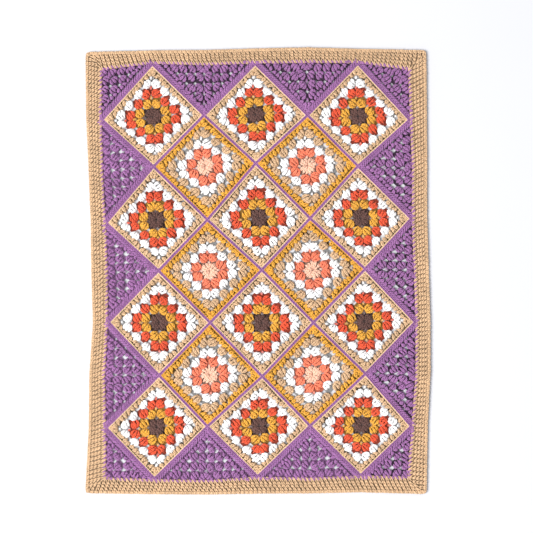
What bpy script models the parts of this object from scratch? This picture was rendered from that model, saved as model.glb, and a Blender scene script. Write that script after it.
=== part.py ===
"""A lap blanket of crocheted granny squares set on point, laid out flat.

Metres, +Z up. The blanket lies on z = 0 with its long side along Y, and the origin is under the middle
of its box. Eighteen squares are joined by a net of seams, half and quarter squares fill the zigzag
round them, and a border of several rounds frames the panel.
"""

from collections import namedtuple

import bmesh
import bpy
from mathutils import Vector
from mathutils.geometry import intersect_line_line

GAP = 0.0003
SEAM_WIDTH = 0.004
SEAM_HEIGHT = 0.0056
SEAM_CHAMFER = 0.001
EDGE_ROOM = 0.0029

# Crochet is thick at the middle of a round and thin where two rounds meet.
ROUNDS_IN_SQUARE = 5
SQUARE_CREST = 0.0048
SQUARE_TROUGH = 0.0036
ROUNDS_IN_HALF = 5
HALF_CREST = 0.0044
HALF_TROUGH = 0.0034
BAND_CREST = 0.0050
BAND_SHARE = 0.13
ROUNDS_IN_BORDER = 5
BORDER_CREST = 0.0050
BORDER_TROUGH = 0.0039
BORDER_LIP_HEIGHT = 0.0025
BORDER_FOOT = 0.97

# The open gaps are four-sided holes, in rows a round apart.
GAP_RADIUS = 0.0026
CORNER_GAP_SHARE = 0.11
GAP_PITCH = 0.0162
FIRST_GAP_DEPTH = 0.0185
GAP_ROW_PITCH = 0.0178
FIRST_CORNER_GAP = 0.0168
CUTTER_HEIGHT = 0.02

# The border's round corner starts this far from the sharp one, and its middle is pulled in by a share of it.
CORNER_CUT = 0.008
CORNER_PULL = 0.32

# The crossings of the joining seams, from the top row down: a row's height, its first crossing, the step
# to the next, how far it climbs from left to right, and how far its two end crossings hang below the others.
SeamRow = namedtuple("SeamRow", "y first_x step count climb sag")
SEAM_ROWS = (
    SeamRow(0.3780, -0.1900, 0.1870, 3, 0.001, 0.0000),
    SeamRow(0.2845, -0.2845, 0.1885, 4, 0.000, 0.0085),
    SeamRow(0.1970, -0.1880, 0.1860, 3, 0.001, 0.0055),
    SeamRow(0.0955, -0.2770, 0.1870, 4, 0.008, 0.0030),
    SeamRow(0.0030, -0.1790, 0.1880, 3, 0.003, 0.0000),
    SeamRow(-0.0930, -0.2730, 0.1880, 4, 0.000, -0.0010),
    SeamRow(-0.1910, -0.1780, 0.1880, 3, 0.003, -0.0035),
    SeamRow(-0.2815, -0.2770, 0.1870, 4, 0.003, 0.0015),
    SeamRow(-0.3730, -0.1860, 0.1875, 3, 0.006, 0.0010),
)

# How many open gaps each row of a piece has. The top ones are worked so tightly that few gaps stay open.
TOP_GAPS = (5, 3)
SIDE_GAPS = (7, 7, 5, 3)
BOTTOM_GAPS = (9, 7, 5, 3)
TOP_CORNER_GAPS = (2, 1)
BOTTOM_CORNER_GAPS = (4, 3, 2, 1)

# The half and quarter squares along the edge, counter-clockwise from the top right corner. Start, apex and
# end are crossings, as row and place in it. A quarter square has no apex, and its corner is the panel's. A
# half square's bow is how far the middle of its long side stands out from the line between its ends. The
# reaches are the border's width past the start and past the corner or bow.
EdgePiece = namedtuple("EdgePiece", "name out start apex end corner bow start_reach hub_reach gap_rows")
RIGHT, UP, LEFT, DOWN = (Vector((1, 0, 0)), Vector((0, 1, 0)), Vector((-1, 0, 0)), Vector((0, -1, 0)))
EDGE_PIECES = (
    EdgePiece("quarter_square_top_right", RIGHT, (1, 3), None, (0, 2), (0.2780, 0.3700), 0,
              (0.0280, 0), (0.0300, 0.0325), TOP_CORNER_GAPS),
    EdgePiece("half_square_top_2", UP, (0, 2), (1, 2), (0, 1), None, 0.0008,
              (0, 0.0235), (0, 0.0255), TOP_GAPS),
    EdgePiece("half_square_top_1", UP, (0, 1), (1, 1), (0, 0), None, -0.0030,
              (0, 0.0245), (0, 0.0250), TOP_GAPS),
    EdgePiece("quarter_square_top_left", UP, (0, 0), None, (1, 0), (-0.2840, 0.3690), 0,
              (0, 0.0215), (-0.0275, 0.0300), TOP_CORNER_GAPS),
    EdgePiece("half_square_left_1", LEFT, (1, 0), (2, 0), (3, 0), None, 0.0013,
              (-0.0255, 0), (-0.0237, 0), SIDE_GAPS),
    EdgePiece("half_square_left_2", LEFT, (3, 0), (4, 0), (5, 0), None, -0.0016,
              (-0.0250, 0), (-0.0276, 0), SIDE_GAPS),
    EdgePiece("half_square_left_3", LEFT, (5, 0), (6, 0), (7, 0), None, 0.0035,
              (-0.0250, 0), (-0.0260, 0), SIDE_GAPS),
    EdgePiece("quarter_square_bottom_left", LEFT, (7, 0), None, (8, 0), (-0.2770, -0.3770), 0,
              (-0.0285, 0), (-0.0350, -0.0260), BOTTOM_CORNER_GAPS),
    EdgePiece("half_square_bottom_1", DOWN, (8, 0), (7, 1), (8, 1), None, 0.0040,
              (0, -0.0250), (0, -0.0235), BOTTOM_GAPS),
    EdgePiece("half_square_bottom_2", DOWN, (8, 1), (7, 2), (8, 2), None, 0.0027,
              (0, -0.0280), (0, -0.0258), BOTTOM_GAPS),
    EdgePiece("quarter_square_bottom_right", DOWN, (8, 2), None, (7, 3), (0.2770, -0.3755), 0,
              (0, -0.0275), (0.0315, -0.0290), BOTTOM_CORNER_GAPS),
    EdgePiece("half_square_right_3", RIGHT, (7, 3), (6, 2), (5, 3), None, 0.0035,
              (0.0265, 0), (0.0245, 0), SIDE_GAPS),
    EdgePiece("half_square_right_2", RIGHT, (5, 3), (4, 2), (3, 3), None, 0.0005,
              (0.0245, 0), (0.0245, 0), SIDE_GAPS),
    EdgePiece("half_square_right_1", RIGHT, (3, 3), (2, 2), (1, 3), None, 0.0024,
              (0.0255, 0), (0.0248, 0), SIDE_GAPS),
)

YARNS = {
    "tan": (0.67, 0.43, 0.22),
    "mustard": (0.79, 0.39, 0.04),
    "purple": (0.27, 0.10, 0.38),
}
YARN_ROUGHNESS = 0.9

Side = namedtuple("Side", "start end inset")


def flat_point(xy):
    return Vector((xy[0], xy[1], 0))


def crossings(row):
    """The crossings of one row of seams, from left to right."""
    points = []
    for place in range(row.count):
        along = place / (row.count - 1)
        at_end = place in (0, row.count - 1)
        height = row.y + row.climb * (along - 0.5) - row.sag * at_end
        points.append(Vector((row.first_x + row.step * place, height, 0)))
    return points


def seam_net():
    """The crossings of every row. The wide rows end at the panel's edge, so their ends are drawn in."""
    rows = [crossings(row) for row in SEAM_ROWS]
    for row in rows[1::2]:
        row[0] += RIGHT * EDGE_ROOM
        row[-1] += LEFT * EDGE_ROOM
    return rows


def corners(sides):
    """The corners of an outline whose sides, counter-clockwise, are moved in by their insets."""
    lines = []
    for start, end, inset in sides:
        along = (end - start).normalized()
        shift = Vector((-along.y, along.x, 0)) * inset
        lines.append((start + shift, end + shift))
    return [intersect_line_line(*lines[i - 1], *lines[i])[0] for i in range(len(lines))]


def closed_path(points, inset):
    """The sides of the closed path through some points, all with one inset."""
    return [Side(points[i - 1], points[i], inset) for i in range(len(points))]


def finish_object(name, mesh, collection, yarn):
    """An object with its own material, in its collection."""
    colour = YARNS[yarn]
    material = bpy.data.materials.new(name + "_" + yarn)
    material.use_nodes = True
    shader = material.node_tree.nodes["Principled BSDF"]
    shader.inputs["Base Color"].default_value = (*colour, 1)
    shader.inputs["Roughness"].default_value = YARN_ROUGHNESS
    shader.inputs["Metallic"].default_value = 0
    material.diffuse_color = (*colour, 1)
    mesh.materials.append(material)
    piece = bpy.data.objects.new(name, mesh)
    collection.objects.link(piece)
    return piece


def mesh_from(bm, name):
    bmesh.ops.remove_doubles(bm, verts=bm.verts, dist=1e-6)
    bmesh.ops.recalc_face_normals(bm, faces=bm.faces)
    mesh = bpy.data.meshes.new(name)
    bm.to_mesh(mesh)
    bm.free()
    return mesh


def ridged_slab(name, rim, hub, profile, closed):
    """A slab with a flat underside, and a top whose ridges run parallel to its rim.

    The profile has pairs of the share of the way from the rim to the hub and the height there. A closed rim
    goes round the hub. An open one ends on two straight sides that meet at the hub.
    """
    bm = bmesh.new()
    floor = [bm.verts.new(point) for point in rim]
    tops = [[bm.verts.new(point.lerp(hub, share) + Vector((0, 0, height))) for point in rim]
            for share, height in profile]
    layers = [floor] + tops
    spans = len(rim) if closed else len(rim) - 1
    for lower, upper in zip(layers, layers[1:]):
        for i in range(spans):
            j = (i + 1) % len(rim)
            bm.faces.new((lower[i], lower[j], upper[j], upper[i]))
    if closed:
        bm.faces.new(floor)
    else:
        under_hub = bm.verts.new(hub)
        bm.faces.new(floor + [under_hub])
        for end in (0, -1):
            bm.faces.new([layer[end] for layer in layers] + [under_hub])
    return mesh_from(bm, name)


def wave(start, end, count, crest, trough):
    """A profile of some equal ridges between two shares, without its first low point."""
    step = (end - start) / count
    points = []
    for i in range(count):
        points.append((start + step * (i + 0.5), crest))
        points.append((start + step * (i + 1), trough))
    return points


def cut_gaps(piece, centres, cutters):
    """Square holes right through a piece, turned to stand on point as the gaps between clusters do."""
    bm = bmesh.new()
    for centre in centres:
        made = bmesh.ops.create_cone(bm, cap_ends=True, segments=4, depth=CUTTER_HEIGHT,
                                     radius1=GAP_RADIUS, radius2=GAP_RADIUS)
        bmesh.ops.translate(bm, verts=made["verts"], vec=centre)
    cutter = bpy.data.objects.new(piece.name + "_gaps", mesh_from(bm, piece.name + "_gaps"))
    cutter.hide_render = True
    cutter.display_type = "WIRE"
    cutters.objects.link(cutter)
    boolean = piece.modifiers.new("gaps", "BOOLEAN")
    boolean.operation = "DIFFERENCE"
    boolean.object = cutter


def square_corners(net, middle_row, place):
    """The top, left, bottom and right crossings round one square of a row."""
    shift = 0 if len(net[middle_row]) > len(net[middle_row - 1]) else 1
    return [net[middle_row - 1][place + shift], net[middle_row][place],
            net[middle_row + 1][place + shift], net[middle_row][place + 1]]


def make_square(name, yarn, around, blanket, cutters):
    """A square worked in rounds, with an open gap at each corner of its last round."""
    rim = corners(closed_path(around, SEAM_WIDTH / 2 + GAP))
    hub = sum(rim, Vector()) / len(rim)
    profile = [(0, SQUARE_TROUGH)] + wave(0, 1, ROUNDS_IN_SQUARE, SQUARE_CREST, SQUARE_TROUGH)
    square = finish_object(name, ridged_slab(name, rim, hub, profile, True), blanket, yarn)
    cut_gaps(square, [corner.lerp(hub, CORNER_GAP_SHARE) for corner in rim], cutters)


def make_squares(net, blanket, cutters):
    """Four rows of three squares with a dark centre, and three rows of two with a light one between them."""
    for middle_row in range(1, len(net) - 1):
        dark = len(net[middle_row]) > len(net[middle_row - 1])
        kind, yarn = ("dark_centre_square", "tan") if dark else ("light_centre_square", "mustard")
        for place in range(len(net[middle_row]) - 1):
            name = f"{kind}_{(middle_row + 1) // 2}_{place + 1}"
            make_square(name, yarn, square_corners(net, middle_row, place), blanket, cutters)


def make_seams(net, blanket):
    """The net of joining seams: one zigzag round all the squares, open over each of them."""
    zigzag = []
    for piece in EDGE_PIECES:
        zigzag += [at(net, place) for place in (piece.start, piece.apex) if place]
    outlines = [corners(closed_path(zigzag, -SEAM_WIDTH / 2))]
    for middle_row in range(1, len(net) - 1):
        for place in range(len(net[middle_row]) - 1):
            around = square_corners(net, middle_row, place)
            outlines.append(corners(closed_path(around, SEAM_WIDTH / 2)))
    curve = bpy.data.curves.new("joining_seams", "CURVE")
    curve.dimensions = "2D"
    curve.fill_mode = "BOTH"
    curve.extrude = SEAM_HEIGHT / 2
    for outline in outlines:
        spline = curve.splines.new("POLY")
        spline.points.add(len(outline) - 1)
        spline.use_cyclic_u = True
        for point, corner in zip(spline.points, outline):
            point.co = (corner.x, corner.y, 0, 1)
    drawn = bpy.data.objects.new("joining_seams_outline", curve)
    blanket.objects.link(drawn)
    evaluated = drawn.evaluated_get(bpy.context.evaluated_depsgraph_get())
    flat = bpy.data.meshes.new_from_object(evaluated)
    bpy.data.objects.remove(drawn)
    bm = bmesh.new()
    bm.from_mesh(flat)
    bpy.data.meshes.remove(flat)
    bmesh.ops.remove_doubles(bm, verts=bm.verts, dist=1e-6)
    bmesh.ops.translate(bm, verts=bm.verts, vec=(0, 0, SEAM_HEIGHT / 2))
    upper_edges = [edge for edge in bm.edges
                   if all(vert.co.z > SEAM_HEIGHT / 2 for vert in edge.verts) and edge.calc_face_angle() > 1]
    bmesh.ops.bevel(bm, geom=upper_edges, offset=SEAM_CHAMFER, segments=1, affect="EDGES")
    finish_object("joining_seams", mesh_from(bm, "joining_seams"), blanket, "purple")


def at(net, place):
    row, number = place
    return net[row][number]


def edge_points(net):
    """Where each edge piece starts on the panel's edge, past its first crossing."""
    return [at(net, piece.start) + piece.out * EDGE_ROOM for piece in EDGE_PIECES]


def hubs(net):
    """The point on the panel's edge that each edge piece is worked out from."""
    starts = edge_points(net)
    found = []
    for i, piece in enumerate(EDGE_PIECES):
        if piece.corner:
            found.append(flat_point(piece.corner))
        else:
            middle = (starts[i] + starts[(i + 1) % len(starts)]) / 2
            found.append(middle + piece.out * piece.bow)
    return found


def half_gaps(hub, apex, gap_rows):
    """Gap centres of a half square, in rows from its long side to its apex."""
    inward = (apex - hub).normalized()
    sideways = Vector((-inward.y, inward.x, 0))
    centres = []
    for depth, count in enumerate(gap_rows):
        for i in range(count):
            offset = i - (count - 1) / 2
            reach_in = FIRST_GAP_DEPTH + depth * GAP_ROW_PITCH
            centres.append(hub + inward * reach_in + sideways * offset * GAP_PITCH)
    return centres


def quarter_gaps(hub, first_end, second_end, gap_rows):
    """Gap centres of a quarter square, in rows along its first edge."""
    along = (first_end - hub).normalized()
    inward = (second_end - hub).normalized()
    centres = []
    for depth, count in enumerate(gap_rows):
        for i in range(count):
            reach_in = FIRST_CORNER_GAP + depth * GAP_PITCH
            centres.append(hub + inward * reach_in + along * (FIRST_CORNER_GAP + i * GAP_PITCH))
    return centres


def make_edge_pieces(net, blanket, cutters):
    """The half and quarter squares, ridged along the seams and worked out from the panel's edge."""
    starts = edge_points(net)
    centres = hubs(net)
    profile = [(0, SQUARE_TROUGH), (BAND_SHARE / 2, BAND_CREST), (BAND_SHARE, HALF_TROUGH)]
    profile += wave(BAND_SHARE, 1, ROUNDS_IN_HALF, HALF_CREST, HALF_TROUGH)
    seam_inset = SEAM_WIDTH / 2 + GAP
    for i, piece in enumerate(EDGE_PIECES):
        end_on_edge = starts[(i + 1) % len(starts)]
        inner = [at(net, place) for place in (piece.end, piece.apex, piece.start) if place]
        sides = [Side(starts[i], centres[i], 0), Side(centres[i], end_on_edge, 0)]
        sides += [Side(a, b, seam_inset) for a, b in zip(inner, inner[1:])]
        start, hub, *rim = corners(sides)
        rim.append(start)
        slab = finish_object(piece.name, ridged_slab(piece.name, rim, hub, profile, False), blanket, "purple")
        if piece.apex:
            gaps = half_gaps(hub, rim[1], piece.gap_rows)
        else:
            gaps = quarter_gaps(hub, rim[0], rim[-1], piece.gap_rows)
        cut_gaps(slab, gaps, cutters)


def border_sections(net):
    """Inner and outer points of the border, counter-clockwise, with three pairs round each corner."""
    path = []
    reaches = []
    for piece, start, hub in zip(EDGE_PIECES, edge_points(net), hubs(net)):
        path += [start, hub]
        reaches += [piece.start_reach, piece.hub_reach]
    moved = corners(closed_path(path, -GAP))
    inner = moved[1:] + moved[:1]
    outer = [point + flat_point(reach) for point, reach in zip(inner, reaches)]
    sections = []
    for i, (near, far) in enumerate(zip(inner, outer)):
        if reaches[i][0] and reaches[i][1]:
            for j in (i - 1, (i + 1) % len(inner)):
                inner_step = (inner[j] - near).normalized() * CORNER_CUT
                outer_step = (outer[j] - far).normalized() * CORNER_CUT
                sections.append((near + inner_step, far + outer_step))
            sections.insert(-1, (near, far.lerp(near, CORNER_PULL * CORNER_CUT / (far - near).length)))
        else:
            sections.append((near, far))
    return sections


def make_border(sections, blanket):
    """The border's rounds, one rib each, swept round the panel."""
    ribs = wave(0, 1, ROUNDS_IN_BORDER, BORDER_CREST, BORDER_TROUGH)[:-1]
    profile = [(0, 0), (0, BORDER_TROUGH)] + ribs + [(1, BORDER_LIP_HEIGHT), (BORDER_FOOT, 0)]
    bm = bmesh.new()
    loops = [[bm.verts.new(inner.lerp(outer, share) + Vector((0, 0, height))) for share, height in profile]
             for inner, outer in sections]
    for i, loop in enumerate(loops):
        before = loops[i - 1]
        for j in range(len(profile)):
            bm.faces.new((before[j - 1], before[j], loop[j], loop[j - 1]))
    finish_object("border", mesh_from(bm, "border"), blanket, "tan")


def new_collection(name):
    collection = bpy.data.collections.new(name)
    bpy.context.scene.collection.children.link(collection)
    return collection


def main():
    for old in list(bpy.data.objects):
        bpy.data.objects.remove(old)
    blanket = new_collection("crochet_blanket")
    cutters = new_collection("cutters")
    net = seam_net()
    make_squares(net, blanket, cutters)
    make_seams(net, blanket)
    make_edge_pieces(net, blanket, cutters)
    sections = border_sections(net)
    make_border(sections, blanket)
    outer = [far for _, far in sections]
    middle = Vector((max(p.x for p in outer) + min(p.x for p in outer),
                     max(p.y for p in outer) + min(p.y for p in outer), 0)) / 2
    for piece in (*blanket.objects, *cutters.objects):
        piece.location = -middle


main()
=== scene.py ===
"""The looks of a crocheted lap blanket that lies flat: every treble, seam and border stitch as yarn.

Metres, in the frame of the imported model. The corners of every piece are read from the model's own nodes.
A lattice unit is the step from one open gap to the next along a piece's diagonal. A round is half the
diagonal of one lattice square. Within a cluster u (along the round) and v (outwards) are in rounds.
"""

import itertools
import math
from collections import namedtuple

import bmesh
import bpy
import numpy as np
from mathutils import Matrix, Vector


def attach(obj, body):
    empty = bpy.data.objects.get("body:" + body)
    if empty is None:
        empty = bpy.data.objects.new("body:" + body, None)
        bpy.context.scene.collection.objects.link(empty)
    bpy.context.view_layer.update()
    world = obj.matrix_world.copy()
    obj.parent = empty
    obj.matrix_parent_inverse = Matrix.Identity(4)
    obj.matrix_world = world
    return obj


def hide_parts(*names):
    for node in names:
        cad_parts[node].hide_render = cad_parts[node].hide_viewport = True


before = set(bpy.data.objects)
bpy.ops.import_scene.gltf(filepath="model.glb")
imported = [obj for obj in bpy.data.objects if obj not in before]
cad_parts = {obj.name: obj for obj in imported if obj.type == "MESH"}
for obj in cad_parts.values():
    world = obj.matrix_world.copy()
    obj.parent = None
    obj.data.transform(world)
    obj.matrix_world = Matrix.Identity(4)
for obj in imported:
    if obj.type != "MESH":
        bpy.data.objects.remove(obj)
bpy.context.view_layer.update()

SEED = 11
rng = np.random.default_rng(SEED)

FULL_TURN = 2 * math.pi
CLOSE = 1e-4
TINY = 1e-9

# The scale of the photograph, and the blanket's place in it, from which the camera follows.
PHOTO_PIXELS = 533
METRES_PER_PIXEL = 0.0018235
PHOTO_MIDDLE = (0.0156, 0.0081)
CAMERA_HEIGHT = 2.8
SENSOR = 36.0

# The stage: a pale floor, an even sky and one large soft lamp.
FLOOR_SIZE = 8
FLOOR_HEIGHT = -0.0004
FLOOR_GRAIN = 30.0
FLOOR_DETAIL = 2.0
FLOOR_TONES = (0.735, 0.755)
FLOOR_BLUE = 0.77
FLOOR_ROUGHNESS = 0.9
SKY_COLOUR = (0.93, 0.95, 1.0, 1)
SKY_STRENGTH = 0.60
LAMP_PLACE = (-3.2, -1.0, 4.8)
LAMP_SIZE = 3.4
LAMP_POWER = 398

# The colours of the yarns, from 0 to 255, and of each kind of square from its middle outwards. One of them is
# the tan with a painted highlight.
ROUNDS = 5
YARN_COLOURS = {
    "tan": (230, 190, 148),
    "purple": (170, 115, 170),
    "white": (255, 253, 251),
    "rust": (252, 98, 62),
    "mustard": (250, 182, 70),
    "brown": (113, 79, 71),
    "coral": (255, 138, 104),
    "peach": (255, 204, 176),
    # The lighter tan is the tan yarn with a painted highlight, for top loops that catch the light.
    "straw": (242, 208, 160),
}
DARK_SQUARE = ("brown", "mustard", "rust", "white", "tan")
LIGHT_SQUARE = ("peach", "coral", "white", "tan", "mustard")
PURPLE = ("purple",) * ROUNDS
KINDS = (
    ("dark_centre_square", DARK_SQUARE, "square_yarns"),
    ("light_centre_square", LIGHT_SQUARE, "square_yarns"),
    ("half_square", PURPLE, "purple_yarn"),
    ("quarter_square", PURPLE, "purple_yarn"),
)

# Painted shade on the ground under the stitches: how light it is, as a share of its yarn's colour, where
# light gets in, along a square's edge, between clusters, and in the deepest places.
LIT_SHADE = 0.66
LIT_YARNS = ("purple", "coral")
EDGE_SHADE = 0.80
GAP_SHADE = 0.50
DEEP_SHADE = 0.32

# How dark a strand's sides and underside are painted, as shade where it meets the next. Pale yarn lets more
# light through.
GROOVE_SHADE = 0.36
GROOVE_SHADES = {
    "white": 0.8,
    "peach": 0.6,
    "coral": 0.7,
    "straw": 0.75,
    "tan": 0.34,
    "rust": 0.2,
    "mustard": 0.24,
    "brown": 0.1,
}

# The same painted shade between two plies of one strand.
PLY_SHADE = 0.55
PLY_SHADES = {
    "white": 0.84,
    "peach": 0.74,
    "coral": 0.72,
    "straw": 0.8,
    "tan": 0.5,
    "rust": 0.42,
    "mustard": 0.46,
    "brown": 0.3,
}
# The painted shades reach this at a strand's top and a ply's crest: a faint painted highlight.
BRIGHTEST_TONE = 1.06
PLY_SPAN = (-1.0, 0.2)
GROOVE_SPAN = (-0.1, 0.75)

# The yarn's dye, fibres and surface.
DYE_SCALE = 60.0
DYE_DETAIL = 2.0
DYE_SPAN = (0.3, 0.7)
DYE_TONES = (0.88, 1.1)
FIBRE_SCALE = 900.0
FIBRE_DETAIL = 3.0
FIBRE_HEIGHT = 0.6
BUMP_STRENGTH = 0.5
BUMP_DISTANCE = 0.0003
YARN_SURFACE = {
    "Roughness": 0.85,
    "Specular IOR Level": 0.25,
    "Sheen Weight": 0.25,
    "Sheen Roughness": 0.5,
}

# A strand is a tube with this many sides. Its plies turn once in each ply length.
SIDES = 4
TOP_ANGLE = math.pi / SIDES
PLIES = 2
PLY_LENGTH = 0.0036
CAP_TAPER = 0.55
YARN_RADIUS = 0.00155
CURVE_STEPS = 4
PAIR = np.array((-1, 1), dtype=float)
HEIGHT_SPREAD = 0.0002

# The directions of a piece's corners from its hub, counter-clockwise, and the words for them in nodes' names.
STEPS = {"right": (1, 0), "up": (0, 1), "left": (-1, 0), "down": (0, -1)}
OPPOSITE = {"right": "left", "left": "right", "up": "down", "down": "up"}
SIDE_WORDS = {"right": "right", "top": "up", "left": "left", "bottom": "down"}

# How far a square's middle is turned counter-clockwise, in degrees: the mean and the spread.
TWIST = (6, 3)

# The steps between a half square's gaps, along the panel's edge and from row to row, how far in its first
# row lies, and the step in a quarter square.
EDGE_STEP = 0.0162
ROW_STEP = 0.0178
FIRST_ROW = 0.0185
QUARTER_STEP = 0.0168

# The ground's thickness, and how far its gaps reach from their middles. Squares' edges are drawn in a little.
SHEET_BOTTOM = 0.0005
SHEET_THICKNESS = 0.0012
GAP_REACH = 0.0062
PURPLE_GAP_REACH = 0.0060
TOP_GAP_REACH = 0.0036
EDGE_GAP_REACH = 0.0030
EDGE_PULL = 0.915
SAME_POINT = 1e-6

# Half widths of a cluster at its base, belly and top, and how far its outer trebles droop, in rounds.
Shape = namedtuple("Shape", "base belly top droop")
CENTRE_SHAPE = Shape(0.10, 0.40, 0.40, 0.16)
CLUSTER_SHAPE = Shape(0.17, 0.47, 0.34, 0.20)
PURPLE_SHAPE = Shape(0.20, 0.50, 0.40, 0.18)
EDGE_SHAPE = Shape(0.50, 0.66, 0.72, 0.0)

# In rounds: how far each round's clusters reach, where they start, and how those at a corner part.
CLUSTER_REACH = (1.34, 1.44, 1.40, 1.36, 0.86)
BASE_START = 0.04
PURPLE_BASE_START = 0.20
BASE_CURVE = 0.06
CORNER_SPREAD = 0.16
CORNER_SHIFT = 0.6

# The spread of the clusters' tilt, size and place, and of their trebles' ends. Places are in rounds.
TILT_SPREAD = 0.08
SIZE_SPREAD = 0.04
PLACE_SPREAD = 0.03
END_SPREAD = 0.03

# The rise of a treble, and its two plies, which turn round each other.
POST_STEPS = 6
POST_BOTTOM = 0.0014
POST_ARCH = (0.06, 0.88)
POST_BLUNTNESS = 0.6
CROWN_HEIGHT = 0.0036
CROWN_DROP = 0.0009
PLY_START = 0.25
PLY_TURN = 1.2
PLY_TURN_SPREAD = 0.15
PLY_SPREAD = 0.12
EDGE_PLY_SPREAD = 0.19
PLY_LIFT = 0.0006
POST_FULLNESS = (0.90, 0.26)
FULLNESS = {"white": 1.14, "tan": 1.06}
EDGE_FULLNESS = 1.12

# The wraps that cross each treble: where they are, their half lengths in rounds, and their rise.
WRAP_STEPS = 3
WRAP_SPOTS = (0.36, 0.68)
WRAP_ACROSS = 0.19
WRAP_OUTWARDS = 0.13
WRAP_OUTWARDS_SPREAD = 0.02
WRAP_LIFT = 0.0019
WRAP_SAG = 0.0020
WRAP_FULLNESS = 0.88

# The chains round the corners, in lattice units, with their heights and the share of the yarn's radius.
CORNER_CHAIN_START = 0.35
CORNER_CHAIN_REACH = (-0.14, 0.12)
CORNER_CHAIN_SWAY = 0.06
CORNER_CHAIN_OFFSET = 0.055
CORNER_CHAIN_BOTTOM = 0.0028
CORNER_CHAIN_RISE = 0.0022
CORNER_CHAIN_ARCH = (0.15, 0.8)
CORNER_CHAIN_FULLNESS = 0.62

# Rows of V-shaped chain stitches: a square's top loops, a seam, and the border's outer edge.
Chain = namedtuple("Chain", "pitch width height radius drop")
EDGE_LINE = Chain(0.0050, 0.0010, 0.0054, YARN_RADIUS * 0.52, 0.0006)
SEAM = Chain(0.0056, 0.0030, 0.0056, 0.0014, 0.0012)
BORDER_EDGE = Chain(0.0078, 0.0030, 0.0042, YARN_RADIUS, 0.0012)
EDGE_LINE_INSET = 0.0010
BORDER_EDGE_INSET = 0.0022
SHORTEST_EDGE = 0.004

# One chain stitch: its length and overlap in pitches, and how its two legs part and rise.
LINK_LENGTH = 1.35
LINK_OVERLAP = 0.1
LINK_FOOT = 0.18
LINK_BELLY = 0.34
LINK_BELLY_ARCH = (0.15, 0.65)
LINK_RISE_ARCH = (0.1, 0.75)
LINK_SPREAD = 0.00012

# The seams' crossings, and the yarn that their stitches are worked over.
CROSSING_SIZE = 0.006
CORNER_TO_CROSSING = 0.00325
CORE_STEPS = 12
CORE_HEIGHT = 0.0034
CORE_RADIUS = 0.0017

# The purple band along a half square's seams: how far in it reaches and how far its stitches lean.
BAND_PITCH = 0.0046
BAND_REACH = (-0.0008, 0.0070)
BAND_LEAN = 0.0085
BAND_YARN_RADIUS = 0.0019
BAND_BOTTOM = 0.0030
BAND_RISE = 0.0018
BAND_ARCH = (0.2, 0.7)
BAND_SPREAD = 0.0002

# The border, in which lengths along a round are in pitches and lengths across it in rounds.
BORDER_LIP_HEIGHT = 0.0025
BORDER_LEAST_WIDTH = 0.01
BORDER_CORNERS = ((1, 1), (-1, 1), (-1, -1), (1, -1))
BORDER_ROUNDS = 5
BORDER_PITCH = 0.0080
BORDER_LEAN = 0.6
BORDER_YARN_RADIUS = 0.0018
BORDER_BACK_STEPS = 240

# A border stitch's two legs, and those of the first round, which start lower down and stand higher.
LEG_STEPS = 5
LEG_PARTING = (0.12, 0.13)
LEG_SPREAD = 0.03
LEG_START = -0.04
LEG_END = 1.04
LEG_END_SPREAD = 0.05
LEG_BOTTOM = 0.0026
LEG_CLIMB = 0.0010
LEG_RISE = 0.0008
LEG_CROSSING = 0.0002
LEG_FULLNESS = (0.82, 0.22)
FIRST_LEG_START = -0.50
FIRST_LEG_LIFT = 0.0022
FIRST_LEG_FULLNESS = (0.85, 0.15)

# The purple loops between the stitches of the border's first round.
TOOTH_REACH = (0.55, 1.15)
TOOTH_START = -0.45
TOOTH_BOTTOM = 0.0040
TOOTH_RISE = 0.0010
TOOTH_RADIUS = 0.0022
TOOTH_TAPER = 0.0006


def linear(channel):
    """An 8-bit colour channel as linear light."""
    value = channel / 255
    return value / 12.92 if value <= 0.04045 else ((value + 0.055) / 1.055) ** 2.4


def add_node(tree, kind, links=(), **settings):
    """A node with its settings, and its inputs set from values or from other nodes' outputs."""
    node = tree.nodes.new(kind)
    for name, value in settings.items():
        setattr(node, name, value)
    for key, value in links:
        if isinstance(value, bpy.types.NodeSocket):
            tree.links.new(value, node.inputs[key])
        else:
            node.inputs[key].default_value = value
    return node


def add_math(tree, operation, *values):
    """The result of a maths node."""
    return add_node(tree, "ShaderNodeMath", enumerate(values), operation=operation).outputs[0]


def add_range(tree, value, span, tones, **settings):
    """A value whose span is mapped to a span of tones."""
    links = [("Value", value), ("From Min", span[0]), ("From Max", span[1])]
    links += [("To Min", tones[0]), ("To Max", tones[1])]
    return add_node(tree, "ShaderNodeMapRange", links, **settings).outputs[0]


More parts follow.
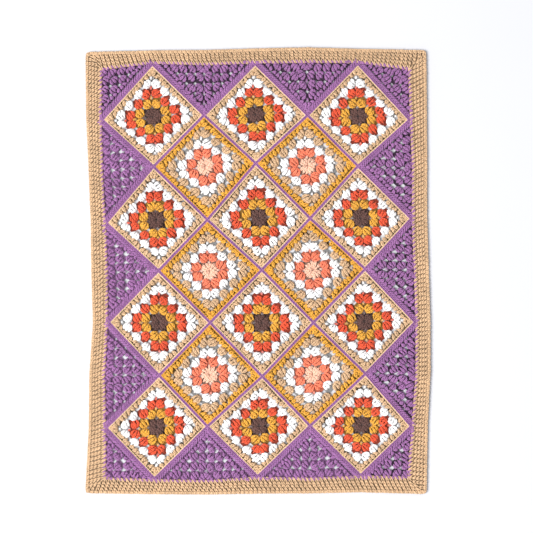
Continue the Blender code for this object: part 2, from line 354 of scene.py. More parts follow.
def yarn_material(name, colour, groove_shade=GROOVE_SHADE, ply_shade=PLY_SHADE):
    """Spun yarn: twisted plies along the strand, fibre fuzz, uneven dye, and painted shade between plies and
    strands.
    """
    material = bpy.data.materials.new(name)
    material.use_nodes = True
    tree = material.node_tree
    shader = tree.nodes["Principled BSDF"]
    place = add_node(tree, "ShaderNodeTexCoord").outputs["Object"]
    strand = add_node(tree, "ShaderNodeUVMap", uv_map="yarn").outputs["UV"]
    parts = add_node(tree, "ShaderNodeSeparateXYZ", [("Vector", strand)])
    twist = add_math(tree, "MULTIPLY", parts.outputs["X"], FULL_TURN)
    around = add_math(tree, "MULTIPLY_ADD", parts.outputs["Y"], PLIES * FULL_TURN, twist)
    ply = add_math(tree, "SINE", around)
    # How far up each side of a strand faces, for the painted shade on its sides and underside.
    facing = add_math(tree, "MULTIPLY_ADD", parts.outputs["Y"], FULL_TURN, -TOP_ANGLE)
    upward = add_math(tree, "COSINE", facing)
    fuzz = add_node(tree, "ShaderNodeTexNoise",
                    [("Vector", place), ("Scale", FIBRE_SCALE), ("Detail", FIBRE_DETAIL)]).outputs["Fac"]
    dye = add_node(tree, "ShaderNodeTexNoise",
                   [("Vector", place), ("Scale", DYE_SCALE), ("Detail", DYE_DETAIL)]).outputs["Fac"]
    painted_ply_shade = add_range(tree, ply, PLY_SPAN, (ply_shade, BRIGHTEST_TONE),
                              interpolation_type="SMOOTHSTEP")
    painted_side_shade = add_range(tree, upward, GROOVE_SPAN, (groove_shade, BRIGHTEST_TONE),
                                interpolation_type="SMOOTHSTEP")
    # Painted shade on the plies' grooves and the strand's sides and underside, with a faint painted highlight
    # on top.
    painted_shade = add_math(tree, "MULTIPLY", painted_ply_shade, painted_side_shade)
    shade = add_math(tree, "MULTIPLY", painted_shade, add_range(tree, dye, DYE_SPAN, DYE_TONES))
    light = tuple(linear(channel) for channel in colour)
    base = add_node(tree, "ShaderNodeVectorMath", [(0, light), (1, shade)], operation="MULTIPLY")
    tree.links.new(base.outputs[0], shader.inputs["Base Color"])
    height = add_math(tree, "MULTIPLY_ADD", fuzz, FIBRE_HEIGHT, ply)
    bump = add_node(tree, "ShaderNodeBump",
                    [("Height", height), ("Strength", BUMP_STRENGTH), ("Distance", BUMP_DISTANCE)])
    tree.links.new(bump.outputs[0], shader.inputs["Normal"])
    for key, value in YARN_SURFACE.items():
        shader.inputs[key].default_value = value
    return material


def shaded_material(colour, kind, shade):
    """The yarn of a ground with painted shade: darker than the strands on it."""
    return yarn_material(f"{colour}_{kind}", tuple(shade * channel for channel in YARN_COLOURS[colour]))


YARNS = {colour: yarn_material(colour + "_yarn", channels, GROOVE_SHADES.get(colour, GROOVE_SHADE),
                               PLY_SHADES.get(colour, PLY_SHADE))
         for colour, channels in YARN_COLOURS.items()}
# Copies of the yarns with painted shade, for the border's back, the ground behind each round, a square's edge
# and the deepest places.
SHADED_BACKING = shaded_material("tan", "back", LIT_SHADE)
SHADED_GROUNDS = {colour: shaded_material(colour, "behind", LIT_SHADE if colour in LIT_YARNS else GAP_SHADE)
          for colour in YARN_COLOURS}
SHADED_EDGES = {colour: shaded_material(colour, "edge", EDGE_SHADE)
         for colour in (DARK_SQUARE[-1], LIGHT_SQUARE[-1])}
DEEPEST_SHADED = {colour: shaded_material(colour, "depth", DEEP_SHADE)
        for colour in YARN_COLOURS if colour in (DARK_SQUARE[-1], LIGHT_SQUARE[-1], PURPLE[-1])}


class Strands:
    """The yarn of one piece, as many short paths with their radii and colours."""

    def __init__(self):
        self.batches = []

    def add(self, paths, radii, colour):
        """Paths is (strands, points, 3) in metres, and radii fits (strands, points)."""
        radii = np.broadcast_to(radii, paths.shape[:2])
        self.batches.append((paths, radii, colour))

    def add_object(self, name):
        """One object of all the strands."""
        vertices, faces, uvs, colours = [], [], [], []
        names = sorted({colour for _, _, colour in self.batches})
        count = 0
        for paths, radii, colour in self.batches:
            points, quads, uv = tubes(paths, radii)
            vertices.append(points)
            faces.append(quads + count)
            uvs.append(uv)
            colours.append(np.full(len(quads), names.index(colour)))
            count += len(points)
        mesh = quad_mesh(name, np.concatenate(vertices), np.concatenate(faces), np.concatenate(uvs))
        for colour in names:
            mesh.materials.append(YARNS[colour])
        mesh.polygons.foreach_set("material_index", np.concatenate(colours).astype(np.int32))
        return add_object(name, mesh)


def tubes(paths, radii):
    """Closed tubes along some paths of equal length: their vertices, quads and the quads' UVs."""
    strands, steps = paths.shape[:2]
    radii = radii.copy()
    radii[:, 0] *= CAP_TAPER
    radii[:, -1] *= CAP_TAPER
    along = np.gradient(paths, axis=1)
    along /= np.linalg.norm(along, axis=2, keepdims=True)
    across = np.cross(along, np.array((0.0, 0.0, 1.0)))
    across /= np.maximum(np.linalg.norm(across, axis=2, keepdims=True), TINY)
    lift = np.cross(across, along)
    angle = FULL_TURN * (np.arange(SIDES) + 0.5) / SIDES
    ring = np.cos(angle)[:, None] * across[:, :, None] + np.sin(angle)[:, None] * lift[:, :, None]
    points = paths[:, :, None] + ring * radii[:, :, None, None]
    index = np.arange(strands * steps * SIDES).reshape(strands, steps, SIDES)
    after = np.roll(index, -1, axis=2)
    walls = np.stack([index[:, :-1], index[:, 1:], after[:, 1:], after[:, :-1]], axis=-1).reshape(-1, 4)
    caps = np.concatenate([index[:, 0], index[:, -1, ::-1]])
    length = np.linalg.norm(np.diff(paths, axis=1), axis=2).cumsum(axis=1)
    length = np.concatenate([np.zeros((strands, 1)), length], axis=1) / PLY_LENGTH
    side = np.arange(SIDES + 1) / SIDES
    low = np.broadcast_to(length[:, :-1, None], (strands, steps - 1, SIDES))
    high = np.broadcast_to(length[:, 1:, None], low.shape)
    near = np.broadcast_to(side[:-1], low.shape)
    far = np.broadcast_to(side[1:], low.shape)
    wall_uv = np.stack([np.stack([low, near], -1), np.stack([high, near], -1),
                        np.stack([high, far], -1), np.stack([low, far], -1)], axis=-2).reshape(-1, 4, 2)
    cap_uv = np.zeros((len(caps), 4, 2))
    return points.reshape(-1, 3), np.concatenate([walls, caps]), np.concatenate([wall_uv, cap_uv])


def quad_mesh(name, vertices, quads, uvs):
    """A smooth mesh of quads with its UVs."""
    mesh = bpy.data.meshes.new(name)
    mesh.vertices.add(len(vertices))
    mesh.vertices.foreach_set("co", vertices.astype(np.float32).ravel())
    mesh.loops.add(quads.size)
    mesh.loops.foreach_set("vertex_index", quads.astype(np.int32).ravel())
    mesh.polygons.add(len(quads))
    mesh.polygons.foreach_set("loop_start", np.arange(0, quads.size, quads.shape[1], dtype=np.int32))
    mesh.polygons.foreach_set("use_smooth", np.ones(len(quads), dtype=bool))
    layer = mesh.uv_layers.new(name="yarn")
    layer.data.foreach_set("uv", uvs.astype(np.float32).ravel())
    mesh.update(calc_edges=True)
    return mesh


def add_object(name, mesh):
    """An object of a mesh, in the scene."""
    piece = bpy.data.objects.new(name, mesh)
    bpy.context.scene.collection.objects.link(piece)
    return piece


def add_sheet(name, bm, materials):
    """A thin sheet of a flat mesh, solid upwards from its underside."""
    mesh = bpy.data.meshes.new(name)
    bm.to_mesh(mesh)
    bm.free()
    for material in materials:
        mesh.materials.append(material)
    sheet = add_object(name, mesh)
    solid = sheet.modifiers.new("thickness", "SOLIDIFY")
    solid.thickness = SHEET_THICKNESS
    solid.offset = 1
    return sheet


def node_points(name):
    """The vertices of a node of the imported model."""
    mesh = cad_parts[name].data
    points = np.empty(len(mesh.vertices) * 3, dtype=np.float32)
    mesh.vertices.foreach_get("co", points)
    return points.reshape(-1, 3).astype(float)


def furthest(points, direction):
    """The point that lies furthest in a direction."""
    return points[np.argmax(points @ np.array(direction, dtype=float))]


def unit(way):
    """A direction with a length of 1."""
    return way / np.linalg.norm(way)


def left_of(way):
    """A direction turned a quarter to the left."""
    return np.array((-way[1], way[0]))


def arch(s, span=(0, 1)):
    """A strand's rise and fall where s goes from 0 to 1: part of half a sine wave."""
    start, length = span
    return np.sin(math.pi * (start + length * s))


def raised(flat, z):
    """Points seen from above, and their heights, as points in space."""
    return np.concatenate([flat, z[..., None]], axis=-1)


def sort_round(points):
    """Points in their order round their middle."""
    middle = points.mean(axis=0)
    angles = np.arctan2(points[:, 1] - middle[1], points[:, 0] - middle[0])
    return points[np.argsort(angles)]


def polygon_area(corners):
    """The area inside a closed ring of points."""
    x, y = np.array(corners).T
    return abs(np.dot(x, np.roll(y, -1)) - np.dot(y, np.roll(x, -1))) / 2


def snug_size(outline):
    """The sides of the smallest box, turned to one of the outline's sides, that holds the outline."""
    sizes = []
    for step in np.roll(outline, -1, axis=0) - outline:
        way = unit(step)
        sizes.append((np.ptp(outline @ left_of(way)), np.ptp(outline @ way)))
    return min(sizes, key=lambda size: size[0] * size[1])


class Patch:
    """A square, half square or quarter square: a hub, and the corners that it has round it."""

    def __init__(self, name, colours):
        self.name = name
        self.colours = colours
        self.missing = [SIDE_WORDS[word] for word in name.split("_") if word in SIDE_WORDS]
        self.full = not self.missing
        self.halved = len(self.missing) == 1
        points = node_points(name)[:, :2]
        self.rim = {side: furthest(points, step) for side, step in STEPS.items() if side not in self.missing}
        self.hub = self.find_hub(points)
        self.twist = math.radians(rng.normal(*TWIST)) if self.full else 0
        self.corners = dict(self.rim)
        self.lattice_hub = self.hub
        if not self.full:
            self.shrink()

    def find_hub(self, points):
        """A square's middle, or the spot on the panel's edge where the middle would be."""
        if self.full:
            return sum(self.rim.values()) / len(self.rim)
        if self.halved:
            ends = [corner for side, corner in self.rim.items() if side != OPPOSITE[self.missing[0]]]
            middle = sum(ends) / 2
            return points[np.argmin(np.linalg.norm(points - middle, axis=1))]
        return furthest(points, sum(np.array(STEPS[side]) for side in self.missing))

    def shrink(self):
        """Half and quarter squares have gaps at their own pitch, and leave room for a band at the seams."""
        steps = dict.fromkeys(self.rim, QUARTER_STEP)
        if self.halved:
            inner = OPPOSITE[self.missing[0]]
            self.lattice_hub = self.hub + np.array(STEPS[inner]) * (FIRST_ROW - ROW_STEP)
            steps = {side: ROW_STEP if side == inner else EDGE_STEP for side in self.rim}
        for side, corner in self.rim.items():
            self.corners[side] = self.lattice_hub + unit(corner - self.hub) * steps[side] * ROUNDS

    def quadrants(self):
        """The pairs of directions between which the piece has clusters."""
        for across, up in itertools.product((1, -1), repeat=2):
            if not set(self.quadrant_sides(across, up)) & set(self.missing):
                yield across, up

    def quadrant_sides(self, across, up):
        """The names of the two directions on either side of a quadrant."""
        return "right" if across > 0 else "left", "up" if up > 0 else "down"

    def axis(self, side):
        """One lattice unit towards a corner. Where the piece has none, the opposite one is mirrored."""
        if side in self.corners:
            return (self.corners[side] - self.lattice_hub) / ROUNDS
        return -(self.corners[OPPOSITE[side]] - self.lattice_hub) / ROUNDS

    def place(self, x, y):
        """Lattice coordinates in metres. A square's rounds are turned a little, and most at its middle."""
        angle = self.twist * (1 - np.minimum((np.abs(x) + np.abs(y)) / ROUNDS, 1) ** 2)
        x, y = x * np.cos(angle) - y * np.sin(angle), x * np.sin(angle) + y * np.cos(angle)
        right, left, up, down = (self.axis(side) for side in ("right", "left", "up", "down"))
        x, y = x[..., None], y[..., None]
        return (self.lattice_hub + np.maximum(x, 0) * right + np.maximum(-x, 0) * left
                + np.maximum(y, 0) * up + np.maximum(-y, 0) * down)

    def is_gap(self, x, y):
        """Whether a lattice point is an open gap inside the piece."""
        inside = all(STEPS[side][0] * x + STEPS[side][1] * y < 0 for side in self.missing)
        return inside and (x, y) != (0, 0) and abs(x) + abs(y) <= ROUNDS

    def gap_reach(self):
        """How far a gap opens from its middle. The purple rows are tighter, and tightest at the top."""
        if "up" in self.missing:
            return TOP_GAP_REACH
        return GAP_REACH if self.full else PURPLE_GAP_REACH


def cells_of_round(patch, i):
    """One round's clusters, each as its quadrant's signs and the lattice place of the gap below it."""
    return [(across, up, k, i - 1 - k) for across, up in patch.quadrants() for k in range(i)]


def local_to_lattice(cells, u, v):
    """Cluster coordinates in rounds, shaped (clusters, ...), as lattice coordinates."""
    shape = (len(cells),) + (1,) * (u.ndim - 1)
    across, up, k, l = (np.array(column, dtype=float).reshape(shape) for column in zip(*cells))
    hand = across * up
    return across * (k + (v + hand * u) / 2), up * (l + (v - hand * u) / 2)


def add_local(strands, patch, cells, u, v, z, radii, colour):
    """Adds paths given in cluster coordinates, shaped (clusters, ..., points)."""
    u, v, z = np.broadcast_arrays(u, v, z)
    x, y = local_to_lattice(cells, u, v)
    strands.add(raised(patch.place(x, y), z).reshape(-1, u.shape[-1], 3), radii, colour)


def add_clusters(strands, patch, cells, colour, shape, reach, last):
    """Clusters of three trebles that fan out of one gap. Those of the last round end on a straight edge."""
    count = len(cells)
    treble = np.array((-1, 0, 1), dtype=float)[None, :, None, None]
    ply = np.array((0, 1), dtype=float)[None, None, :, None]
    at_corner = [across * up * ((k == 0 < l) - (l == 0 < k)) for across, up, k, l in cells]
    apart = CORNER_SPREAD * np.array(at_corner)[:, None, None, None] * (not last)
    loose = rng.normal(0, 1, (6, count, 3, 1, 1))
    tilt = rng.normal(0, TILT_SPREAD, (count, 1, 1, 1))
    size = 1 + rng.normal(0, SIZE_SPREAD, (count, 1, 1, 1))
    shift = rng.normal(0, PLACE_SPREAD, (2, count, 1, 1, 1))
    fullness = FULLNESS.get(colour, 1) * (EDGE_FULLNESS if last else 1)
    top_u = (treble * shape.top + END_SPREAD * loose[0]) * size
    top_v = (reach - shape.droop * treble ** 2 + END_SPREAD * loose[1] * (not last)) * size
    base_u = shape.base * treble
    base_v = (PURPLE_BASE_START if colour == "purple" else BASE_START) + BASE_CURVE * treble ** 2
    crown = CROWN_HEIGHT - CROWN_DROP * treble ** 2 + HEIGHT_SPREAD * loose[2]

    def post(s):
        """The middle of each treble at some shares of its length."""
        bulge = treble * (shape.belly - (shape.base + shape.top) / 2)
        u = base_u + (top_u - base_u) * s + bulge * arch(s)
        v = base_v + (top_v - base_v) * s
        return u, v, POST_BOTTOM + crown * arch(s, POST_ARCH) ** POST_BLUNTNESS

    def add_leaning(u, v, z, radii):
        """Adds paths, each turned and moved with its cluster."""
        lean = tilt + apart
        u, v = u + lean * v + CORNER_SHIFT * apart + shift[0], v - lean * u + shift[1]
        add_local(strands, patch, cells, u, v, z, radii * fullness, colour)

    s = np.linspace(0, 1, POST_STEPS)
    u, v, z = post(s)
    turn = math.pi * (PLY_START + PLY_TURN * s + ply + PLY_TURN_SPREAD * loose[3])
    spread = EDGE_PLY_SPREAD if last else PLY_SPREAD
    add_leaning(u + spread * np.cos(turn), v, z + PLY_LIFT * np.sin(turn),
                YARN_RADIUS * (POST_FULLNESS[0] + POST_FULLNESS[1] * arch(s)))

    t = np.linspace(-1, 1, WRAP_STEPS)
    spot = np.array(WRAP_SPOTS)[None, None, :, None] + END_SPREAD * loose[4]
    u, v, z = post(spot)
    add_leaning(u + WRAP_ACROSS * t, v + (WRAP_OUTWARDS + WRAP_OUTWARDS_SPREAD * loose[5]) * t,
                z + WRAP_LIFT - WRAP_SAG * t ** 2, YARN_RADIUS * WRAP_FULLNESS)


def add_corner_chains(strands, patch):
    """The chain stitches round each corner, which peep out between the next round's two clusters."""
    s = np.linspace(0, 1, CURVE_STEPS)
    z = CORNER_CHAIN_BOTTOM + CORNER_CHAIN_RISE * arch(s, CORNER_CHAIN_ARCH)
    for side in patch.rim:
        step = STEPS[side]
        for i in range(1, ROUNDS):
            reach = rng.uniform(*CORNER_CHAIN_REACH)
            sway = rng.normal(0, CORNER_CHAIN_SWAY)
            out = i - CORNER_CHAIN_START + (CORNER_CHAIN_START + reach) * s
            for hand in PAIR:
                across = hand * CORNER_CHAIN_OFFSET + sway * s
                flat = patch.place(out * step[0] - across * step[1], out * step[1] + across * step[0])
                strands.add(raised(flat, z)[None], YARN_RADIUS * CORNER_CHAIN_FULLNESS, patch.colours[i - 1])


def add_chain(strands, start, end, colour, chain):
    """A row of V-shaped chain stitches from one point to another."""
    length = np.linalg.norm(end - start)
    count = max(1, round(length / chain.pitch))
    way = unit(end - start)
    t = np.linspace(0, 1, CURVE_STEPS)
    first = (np.arange(count) / count * length)[:, None, None]
    along = first + (LINK_LENGTH * t - LINK_OVERLAP) * length / count
    off = PAIR[None, :, None] * chain.width * (LINK_FOOT + LINK_BELLY * arch(t, LINK_BELLY_ARCH))
    off = off + rng.normal(0, LINK_SPREAD, (count, 1, 1))
    z = chain.height - chain.drop * (1 - arch(t, LINK_RISE_ARCH))
    along, off, z = np.broadcast_arrays(along, off, z)
    flat = start + along[..., None] * way + off[..., None] * left_of(way)
    strands.add(raised(flat, z).reshape(-1, CURVE_STEPS, 3), chain.radius, colour)


def add_inset_chain(strands, start, end, inset, colour, chain):
    """A row of chain stitches to the left of the line between two points."""
    inward = left_of(unit(end - start)) * inset
    add_chain(strands, start + inward, end + inward, colour, chain)


def add_edge_line(strands, patch):
    """Top loops of the last round: a pale line along each side of a square, tan ones in a painted highlight.
    """
    ring = list(patch.corners.values())
    colour = "straw" if patch.colours[-1] == "tan" else patch.colours[-1]
    for start, end in zip(ring, ring[1:] + ring[:1]):
        add_inset_chain(strands, start, end, EDGE_LINE_INSET, colour, EDGE_LINE)


def rim_sides(patch):
    """The seam sides of a half or quarter square, each as two corners and the way into the piece."""
    for a, b in itertools.combinations(patch.rim, 2):
        if OPPOSITE[a] != b:
            start, end = patch.rim[a], patch.rim[b]
            inward = left_of(unit(end - start))
            yield start, end, inward if inward @ (patch.hub - start) >= 0 else -inward


def add_band(strands, patch):
    """The purple row worked along a half square's seam sides, with its stitches leaning."""
    s = np.linspace(0, 1, CURVE_STEPS)[None, :]
    for start, end, inward in rim_sides(patch):
        length = np.linalg.norm(end - start)
        count = round(length / BAND_PITCH)
        along = (np.arange(count) + 0.5)[:, None] / count * length
        loose = rng.normal(0, BAND_SPREAD, (2, count, 1))
        depth = BAND_REACH[0] + (BAND_REACH[1] - BAND_REACH[0]) * s + loose[0]
        lean = (end - start)[0] * inward[1] - (end - start)[1] * inward[0]
        forward = along + math.copysign(BAND_LEAN, lean) * (s - 0.5) + loose[1]
        flat = start + forward[..., None] * unit(end - start) + depth[..., None] * inward
        z = np.broadcast_to(BAND_BOTTOM + BAND_RISE * arch(s, BAND_ARCH), depth.shape)
        strands.add(raised(flat, z), BAND_YARN_RADIUS, "purple")


def add_ground(patch):
    """The thin felted layer behind the stitches, in painted shade, with every gap between the clusters open.
    """
    bm = bmesh.new()
    points = {}

    def vertex(x, y):
        """The vertex at a lattice point."""
        if (x, y) not in points:
            pull = EDGE_PULL if patch.full and abs(x) + abs(y) == ROUNDS else 1.0
            spot = patch.place(np.array(pull * x), np.array(pull * y))
            points[(x, y)] = bm.verts.new((*spot, SHEET_BOTTOM))
        return points[(x, y)]

    names = sorted(set(patch.colours))
    deep, edge = len(names), len(names) + 1
    for across, up in patch.quadrants():
        for k in range(ROUNDS):
            for l in range(ROUNDS - k):
                cell_round = k + l + 1
                ring = [vertex(across * k, up * l), vertex(across * (k + 1), up * l)]
                if cell_round < ROUNDS:
                    ring.append(vertex(across * (k + 1), up * (l + 1)))
                ring.append(vertex(across * k, up * (l + 1)))
                if across * up < 0:
                    ring.reverse()
                # In the last round but one each cell's outer part gets the deepest painted shade, for the
                # dark holes between the last round's clusters. The last round's cells get the lighter edge
                # shade, the others their round's painted shade.
                if patch.full and cell_round == ROUNDS - 1:
                    start = ring.index(points[(across * k, up * l)])
                    ring = ring[start:] + ring[:start]
                    bm.faces.new(ring[1:]).material_index = deep
                    ring = [ring[0], ring[1], ring[3]]
                behind = names.index(patch.colours[cell_round - 1])
                bm.faces.new(ring).material_index = edge if patch.full and cell_round == ROUNDS else behind
    add_skirt(bm, patch, vertex, names.index(patch.colours[-1]), deep)
    face_upwards(bm)
    open_gaps(bm, patch, points)
    # Half and quarter squares without a top or right corner get the deepest painted shade in all their
    # ground.
    shades = DEEPEST_SHADED if {"up", "right"} & set(patch.missing) else SHADED_GROUNDS
    materials = [shades[colour] for colour in names] + [DEEPEST_SHADED[patch.colours[-1]]]
    if patch.full:
        materials.append(SHADED_EDGES[patch.colours[-1]])
    return add_sheet(patch.name + "_ground", bm, materials)


def open_gaps(bm, patch, points):
    """Opens the ground at each gap, first inside the piece and then along its edge."""
    for wide in (True, False):
        gaps = [vertex for (x, y), vertex in points.items()
                if patch.is_gap(x, y) and (abs(x) + abs(y) < ROUNDS) == wide]
        reach = patch.gap_reach() if wide else EDGE_GAP_REACH
        made = bmesh.ops.bevel(bm, geom=gaps, offset=reach, segments=1, affect="VERTICES")
        holes = [face for face in made["faces"] if max(side.calc_length() for side in face.edges) < 2 * reach]
        bmesh.ops.delete(bm, geom=holes, context="FACES_ONLY")


def add_skirt(bm, patch, vertex, colour, deep):
    """Joins the lattice's edge to the piece's own outline."""
    corners = {side: bm.verts.new((*corner, SHEET_BOTTOM)) for side, corner in patch.rim.items()}
    hub = bm.verts.new((*patch.hub, SHEET_BOTTOM)) if patch.halved else None

    def line(first, last):
        """Vertices from one to another, one for each round."""
        a, b = np.array(first.co), np.array(last.co)
        return [first] + [bm.verts.new(a + (b - a) * (i / ROUNDS)) for i in range(1, ROUNDS)] + [last]

    for across, up in patch.quadrants():
        level, upright = patch.quadrant_sides(across, up)
        outer = line(corners[level], corners[upright])
        inner = [vertex(across * (ROUNDS - i), up * i) for i in range(ROUNDS + 1)]
        add_strip(bm, inner, outer, colour)
        for side, other in ((level, upright), (upright, level)):
            if patch.halved and OPPOSITE[other] in patch.missing:
                x, y = STEPS[side]
                rail = [vertex(x * i, y * i) for i in range(ROUNDS + 1)]
                # The strip along the panel's edge gets the deepest painted shade, which shows as dark specks
                # between the first row's clusters.
                add_strip(bm, rail, line(hub, corners[side]), deep)
    loose = [vert for vert in bm.verts if not vert.link_faces or vert.is_boundary]
    bmesh.ops.remove_doubles(bm, verts=loose, dist=SAME_POINT)


def add_strip(bm, inner, outer, colour):
    """Quads between two rows of vertices."""
    for i in range(len(inner) - 1):
        bm.faces.new((inner[i], inner[i + 1], outer[i + 1], outer[i])).material_index = colour


def face_upwards(bm):
    """Turns the faces of a flat sheet so that its thickness goes up from its underside."""
    bm.normal_update()
    bmesh.ops.reverse_faces(bm, faces=[face for face in bm.faces if face.normal.z < 0])


def cluster_shape(patch, i):
    """The shape of the clusters in one round of a piece."""
    if i == ROUNDS:
        return EDGE_SHAPE
    if not patch.full:
        return PURPLE_SHAPE
    return CENTRE_SHAPE if i == 1 else CLUSTER_SHAPE


def dress_patch(name, colours, slot):
    """Replaces one square, half or quarter square with its ground and its stitches."""
    patch = Patch(name, colours)
    strands = Strands()
    for i in range(1, ROUNDS + 1):
        add_clusters(strands, patch, cells_of_round(patch, i), colours[i - 1], cluster_shape(patch, i),
                     CLUSTER_REACH[i - 1], i == ROUNDS)
    add_corner_chains(strands, patch)
    if patch.full:
        add_edge_line(strands, patch)
    else:
        add_band(strands, patch)
    yarn = strands.add_object(name + "_stitches")
    ground = add_ground(patch)
    for piece in (ground, yarn):
        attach(piece, "root")
        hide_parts(name)
    outline = list(patch.rim.values())
    if not patch.full:
        outline.append(patch.hub)
    outline = sort_round(np.array(outline))
    width, length = snug_size(outline)
    polygon_area(outline)
    return patch


def dress_patches():
    """Dresses every square, half square and quarter square."""
    return [dress_patch(name, colours, slot) for name in sorted(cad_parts)
            for kind, colours, slot in KINDS if name.startswith(kind)]


def dress_seams(patches):
    """A cord of slip stitches along every joining seam."""
    crossings = []

    def crossing(point):
        """The number of the crossing at a point."""
        for i, known in enumerate(crossings):
            if np.linalg.norm(known - point) < CROSSING_SIZE:
                return i
        crossings.append(point)
        return len(crossings) - 1

    seams = set()
    for patch in patches:
        if patch.full:
            ring = [crossing(corner + unit(corner - patch.hub) * CORNER_TO_CROSSING)
                    for corner in patch.corners.values()]
            seams |= {tuple(sorted(pair)) for pair in zip(ring, ring[1:] + ring[:1])}
    strands = Strands()
    for a, b in sorted(seams):
        add_chain(strands, crossings[a], crossings[b], "purple", SEAM)
        add_core(strands, crossings[a], crossings[b])
    cords = strands.add_object("joining_seams_stitches")
    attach(cords, "root")
    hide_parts("joining_seams")


def add_core(strands, start, end):
    """The yarn that a seam's stitches are worked over."""
    t = np.linspace(0, 1, CORE_STEPS)[:, None]
    path = raised(start + (end - start) * t, np.full(CORE_STEPS, CORE_HEIGHT))
    strands.add(path[None], CORE_RADIUS, "purple")


def border_loops():
    """The border's inner and outer corner points, in order."""
    points = node_points("border")
    outer = points[np.abs(points[:, 2] - BORDER_LIP_HEIGHT) < CLOSE][:, :2]
    low = points[points[:, 2] < CLOSE][:, :2]
    gap = np.linalg.norm(low[:, None] - outer[None], axis=2).min(axis=1)
    inner = low[gap > BORDER_LEAST_WIDTH]
    return unique_ring(inner), unique_ring(outer)


def unique_ring(points):
    """A ring of points, in order and each only once."""
    kept = []
    for point in sort_round(points):
        if not kept or np.linalg.norm(point - kept[-1]) > CLOSE:
            kept.append(point)
    return np.array(kept)


def step_lengths(line):
    """The distances between the points of an open line."""
    return np.linalg.norm(np.diff(line, axis=0), axis=1)


def points_along(line, distance, start=0):
    """Points of an open line at some distances along it, counted from a share of its length."""
    length = np.concatenate([[0], np.cumsum(step_lengths(line))])
    length = length - length[-1] * start
    return np.stack([np.interp(distance, length, line[:, i]) for i in (0, 1)], axis=-1)


def closed(ring):
    """A ring with its first point again at its end."""
    return np.concatenate([ring, ring[:1]])


def ring_part(ring, start, end):
    """The stretch of a closed ring between two of its points."""
    if end <= start:
        end += len(ring)
    return ring[np.arange(start, end + 1) % len(ring)]


def ring_sides(ring):
    """The four sides of a ring, each from one corner to the next."""
    corners = [int(np.argmax(ring @ np.array(step))) for step in BORDER_CORNERS]
    return [ring_part(ring, start, end) for start, end in zip(corners, corners[1:] + corners[:1])]


def nearest_on_ring(ring, point):
    """The point of a ring that is nearest to another."""
    best = None
    for a, b in itertools.pairwise(closed(ring)):
        t = np.clip((point - a) @ (b - a) / max((b - a) @ (b - a), TINY ** 2), 0, 1)
        spot = a + t * (b - a)
        if best is None or np.linalg.norm(spot - point) < np.linalg.norm(best - point):
            best = spot
    return best


def dress_border():
    """Rounds of single crochet, and a chain along the outer edge."""
    inner, outer = border_loops()
    strands = Strands()
    for near, far in zip(ring_sides(inner), ring_sides(outer)):
        for row in range(BORDER_ROUNDS):
            add_border_row(strands, near, far, row)
        add_border_edge(strands, far)
    yarn = strands.add_object("border_stitches")
    ground = add_border_ground(inner, outer)
    for piece in (ground, yarn):
        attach(piece, "root")
        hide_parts("border")
    length = (step_lengths(closed(inner)).sum() + step_lengths(closed(outer)).sum()) / 2
    width = (polygon_area(outer) - polygon_area(inner)) / length


def add_border_row(strands, near, far, row):
    """One round's single crochet stitches along a side: two legs that fan out of the stitch below."""
    part = (row + 0.5) / BORDER_ROUNDS
    straight = step_lengths(near).sum() / 2
    reach = straight + part * (step_lengths(far).sum() / 2 - straight)
    count = round(2 * reach / BORDER_PITCH)
    pitch = 2 * reach / count
    place = ((np.arange(count) + 0.5 + BORDER_LEAN * row) % count - count / 2) * pitch
    s = np.linspace(0, 1, LEG_STEPS)
    leg = PAIR[None, :, None]
    shape = (count, len(PAIR), LEG_STEPS)
    loose = rng.normal(0, 1, (3, count, 2, 1))
    first = row == 0
    parting = LEG_PARTING[0] + LEG_PARTING[1] * s
    along = place[:, None, None] + pitch * (parting * leg + BORDER_LEAN * (s - 0.5) + LEG_SPREAD * loose[0])
    along = fanned(along, straight, part)
    start = LEG_START + (FIRST_LEG_START if first else 0)
    share = (row + start + (LEG_END - start) * s + LEG_END_SPREAD * loose[1]) / BORDER_ROUNDS
    z = LEG_BOTTOM + LEG_CLIMB * s + LEG_RISE * arch(s) + LEG_CROSSING * leg + HEIGHT_SPREAD * loose[2]
    thickness = LEG_FULLNESS[0] + LEG_FULLNESS[1] * arch(s)
    if first:
        z = z + FIRST_LEG_LIFT * (1 - s) ** 2
        thickness = FIRST_LEG_FULLNESS[0] + FIRST_LEG_FULLNESS[1] * s
    along, share, z = (np.broadcast_to(values, shape) for values in (along, share, z))
    paths = across_border(near, far, along, share, z).reshape(-1, LEG_STEPS, 3)
    strands.add(paths, BORDER_YARN_RADIUS * thickness, "tan")
    if first:
        place = place + pitch / 2
        add_teeth(strands, near, far, place[np.abs(place) < straight])


def fanned(along, straight, part):
    """Distances from a side's middle. Past the end of its inner edge they spread out round the corner."""
    beyond = np.maximum(np.abs(along) - straight, 0)
    return along + np.sign(along) * beyond * (1 / part - 1)


def across_border(near, far, along, share, z):
    """Points at some distances from a side's middle and some shares of the way out, with their heights."""
    share = share[..., None]
    flat = points_along(near, along, 0.5) * (1 - share) + points_along(far, along, 0.5) * share
    return raised(flat, z)


def add_teeth(strands, near, far, place):
    """The purple loops that the first round is worked into, which show between its stitches."""
    s = np.linspace(0, 1, CURVE_STEPS)
    reach = rng.uniform(*TOOTH_REACH, (len(place), 1))
    share = (TOOTH_START + reach * s) / BORDER_ROUNDS
    along = place[:, None] + BORDER_LEAN * BORDER_PITCH * (s - 0.5)
    z = np.broadcast_to(TOOTH_BOTTOM + TOOTH_RISE * arch(s), share.shape)
    strands.add(across_border(near, far, along, share, z), TOOTH_RADIUS - TOOTH_TAPER * s, "purple")


def add_border_edge(strands, far):
    """The chain along one side of the border's outer edge."""
    for start, end in itertools.pairwise(far):
        if np.linalg.norm(end - start) > SHORTEST_EDGE:
            add_inset_chain(strands, start, end, BORDER_EDGE_INSET, "tan", BORDER_EDGE)


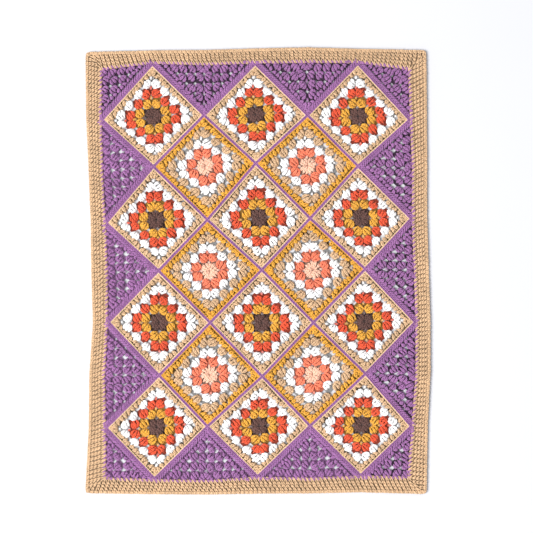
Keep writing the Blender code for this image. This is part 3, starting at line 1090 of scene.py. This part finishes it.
def add_border_ground(inner, outer):
    """The border's flat back, in tan with painted shade."""
    bm = bmesh.new()
    length = step_lengths(closed(outer)).sum()
    far = points_along(closed(outer), np.arange(BORDER_BACK_STEPS) / BORDER_BACK_STEPS * length)
    near = [nearest_on_ring(inner, point) for point in far]
    near, far = ([bm.verts.new((*point, SHEET_BOTTOM)) for point in ring] for ring in (near, far))
    for i in range(BORDER_BACK_STEPS):
        j = (i + 1) % BORDER_BACK_STEPS
        bm.faces.new((near[i], far[i], far[j], near[j]))
    face_upwards(bm)
    return add_sheet("border_ground", bm, [SHADED_BACKING])


def set_stage():
    """A plain pale floor, soft studio light and the camera straight above."""
    bpy.ops.mesh.primitive_plane_add(size=FLOOR_SIZE, location=(0, 0, FLOOR_HEIGHT))
    floor = bpy.context.object
    floor.name = "floor"
    paint = bpy.data.materials.new("floor_paint")
    paint.use_nodes = True
    tree = paint.node_tree
    shader = tree.nodes["Principled BSDF"]
    grain = add_node(tree, "ShaderNodeTexNoise", [("Scale", FLOOR_GRAIN), ("Detail", FLOOR_DETAIL)])
    tone = add_range(tree, grain.outputs["Fac"], (0.0, 1.0), FLOOR_TONES)
    tint = add_node(tree, "ShaderNodeCombineXYZ", [("X", tone), ("Y", tone), ("Z", FLOOR_BLUE)])
    tree.links.new(tint.outputs[0], shader.inputs["Base Color"])
    shader.inputs["Roughness"].default_value = FLOOR_ROUGHNESS
    floor.data.materials.append(paint)

    world = bpy.data.worlds.new("studio")
    bpy.context.scene.world = world
    world.use_nodes = True
    sky = world.node_tree.nodes["Background"]
    sky.inputs["Color"].default_value = SKY_COLOUR
    sky.inputs["Strength"].default_value = SKY_STRENGTH

    lamp = bpy.data.lights.new("key", "AREA")
    lamp.shape = "RECTANGLE"
    lamp.size = LAMP_SIZE
    lamp.size_y = LAMP_SIZE
    lamp.energy = LAMP_POWER
    key = add_object("key", lamp)
    key.location = LAMP_PLACE
    key.rotation_euler = (-Vector(LAMP_PLACE)).to_track_quat("-Z", "Y").to_euler()

    camera_data = bpy.data.cameras.new("camera")
    camera_data.sensor_width = SENSOR
    camera_data.lens = SENSOR * CAMERA_HEIGHT / (PHOTO_PIXELS * METRES_PER_PIXEL)
    camera = add_object("camera", camera_data)
    camera.location = (*PHOTO_MIDDLE, CAMERA_HEIGHT)
    bpy.context.scene.camera = camera
    bpy.context.scene.view_settings.view_transform = "Standard"


set_stage()
dress_seams(dress_patches())
dress_border()
